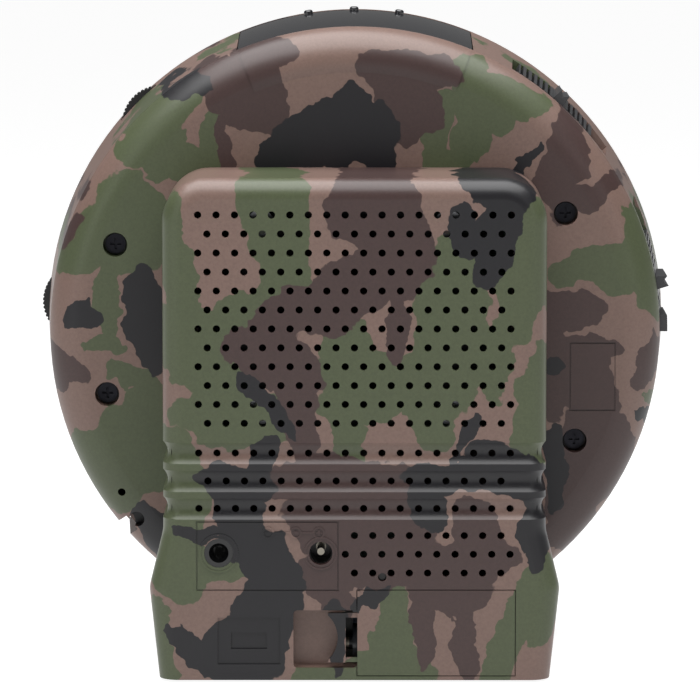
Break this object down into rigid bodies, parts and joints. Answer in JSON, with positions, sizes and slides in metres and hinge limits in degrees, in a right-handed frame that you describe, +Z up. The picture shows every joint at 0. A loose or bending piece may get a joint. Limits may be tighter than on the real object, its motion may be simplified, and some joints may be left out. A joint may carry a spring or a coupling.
{
  "type": "vibrating alarm clock",
  "caption": "Round electronic alarm clock on a flared stand, seen from its vented speaker tower, with a snooze bar, slide switches, thumbwheels, jacks and a battery door.",
  "frame": {"origin": "on the floor under the middle of the clock", "axes": "+Z up, -Y towards the person who reads the dial, +Y out of the vented back"},
  "size_m": [0.1789, 0.0966, 0.1812],
  "materials": {
    "camouflage_abs": "satin film of woodland camouflage over moulded ABS",
    "black_gloss_abs": "polished moulding",
    "grey_abs": "satin moulding",
    "black_abs": "satin moulding",
    "dial_abs": "satin moulding",
    "smoked_acrylic": "polished sheet",
    "display_black": "moulded module",
    "board_laminate": "solder-resist on glass laminate",
    "zinc_steel": "zinc plated",
    "nickel_plate": "nickel plated",
    "cell_sleeve": "printed sleeve",
    "black_nylon": "moulded nylon",
    "ferrite": "pressed and fired",
    "speaker_paper": "pressed paper pulp",
    "soft_rubber": "moulded rubber",
    "ribbon_pvc": "extruded flat lead",
    "base_abs": "satin moulding"
  },
  "bodies": {
    "housing": {"backup_cell_1": "cell_sleeve", "backup_cell_2": "cell_sleeve", "base_plate": "base_abs", "base_screws": "zinc_steel", "battery_contacts": "nickel_plate", "bezel_ring": "dial_abs", "button_switches": "black_nylon", "dc_jack": "black_nylon", "dc_jack_pin": "nickel_plate", "dial_panel": "dial_abs", "display_lens": "smoked_acrylic", "display_module": "display_black", "front_shell": "camouflage_abs", "housing_screws": "zinc_steel", "jack_board": "board_laminate", "jack_board_screws": "zinc_steel", "main_board": "board_laminate", "main_board_screws": "zinc_steel", "mode_switch": "black_nylon", "rear_shell": "camouflage_abs", "reset_switch": "black_nylon", "ribbon_lead": "ribbon_pvc", "rubber_feet": "soft_rubber", "shaker_jack": "black_nylon", "shaker_switch": "black_nylon", "snooze_spring_1": "zinc_steel", "snooze_spring_2": "zinc_steel", "snooze_switch": "black_nylon", "speaker_basket": "zinc_steel", "speaker_cone": "speaker_paper", "speaker_gasket": "soft_rubber", "speaker_magnet": "ferrite", "speaker_screws": "zinc_steel", "tone_pot": "black_nylon", "tower_cover": "camouflage_abs", "tower_screws": "zinc_steel", "volume_pot": "black_nylon"},
    "snooze_bar": {"snooze_bar": "black_gloss_abs"},
    "volume_wheel": {"volume_wheel": "black_abs"},
    "tone_wheel": {"tone_wheel": "black_abs"},
    "mode_slider": {"mode_slider": "grey_abs"},
    "shaker_slider": {"shaker_slider": "grey_abs"},
    "battery_door": {"battery_door": "camouflage_abs"},
    "reset_button": {"reset_button": "black_abs"},
    "set_button_1": {"set_button_1": "black_abs"},
    "set_button_2": {"set_button_2": "black_abs"},
    "set_button_3": {"set_button_3": "black_abs"},
    "set_button_4": {"set_button_4": "black_abs"},
    "set_button_5": {"set_button_5": "black_abs"}
  },
  "joints": [
    {"name": "snooze_press", "type": "slide", "parent": "housing", "child": "snooze_bar", "axis": [0, 0, -1], "range_m": [0, 0.0015], "stiffness_N_per_m": 600, "springref_m": -0.002, "deforming": ["snooze_spring_1", "snooze_spring_2"]},
    {"name": "volume_turn", "type": "hinge", "parent": "housing", "child": "volume_wheel", "pos_m": [0.05607, -0.033, 0.14757], "axis": [0, 1, 0], "range_deg": [-150, 150]},
    {"name": "tone_turn", "type": "hinge", "parent": "housing", "child": "tone_wheel", "pos_m": [0.07915, -0.033, 0.09634], "axis": [0, 1, 0], "range_deg": [-150, 150]},
    {"name": "mode_slide", "type": "hinge", "parent": "housing", "child": "mode_slider", "pos_m": [0, -0.0115, 0.0915], "axis": [0, 1, 0], "range_deg": [-4.4, 1.2]},
    {"name": "shaker_slide", "type": "hinge", "parent": "housing", "child": "shaker_slider", "pos_m": [0, -0.0115, 0.0915], "axis": [0, 1, 0], "range_deg": [0, 6.5]},
    {"name": "battery_door_swing", "type": "hinge", "parent": "housing", "child": "battery_door", "pos_m": [-0.0439, 0.048, 0.0139], "axis": [0, 0, 1], "range_deg": [0, 75]},
    {"name": "set_button_1_press", "type": "slide", "parent": "housing", "child": "set_button_1", "axis": [0, 1, 0], "range_m": [0, 0.0005], "stiffness_N_per_m": 400, "springref_m": -0.0005},
    {"name": "set_button_2_press", "type": "slide", "parent": "housing", "child": "set_button_2", "axis": [0, 1, 0], "range_m": [0, 0.0005], "stiffness_N_per_m": 400, "springref_m": -0.0005},
    {"name": "set_button_3_press", "type": "slide", "parent": "housing", "child": "set_button_3", "axis": [0, 1, 0], "range_m": [0, 0.0005], "stiffness_N_per_m": 400, "springref_m": -0.0005},
    {"name": "set_button_4_press", "type": "slide", "parent": "housing", "child": "set_button_4", "axis": [0, 1, 0], "range_m": [0, 0.0005], "stiffness_N_per_m": 400, "springref_m": -0.0005},
    {"name": "set_button_5_press", "type": "slide", "parent": "housing", "child": "set_button_5", "axis": [0, 1, 0], "range_m": [0, 0.0005], "stiffness_N_per_m": 400, "springref_m": -0.0005},
    {"name": "reset_press", "type": "slide", "parent": "housing", "child": "reset_button", "axis": [0, -1, 0], "range_m": [0, 0.0003], "stiffness_N_per_m": 400, "springref_m": -0.0003}
  ]
}
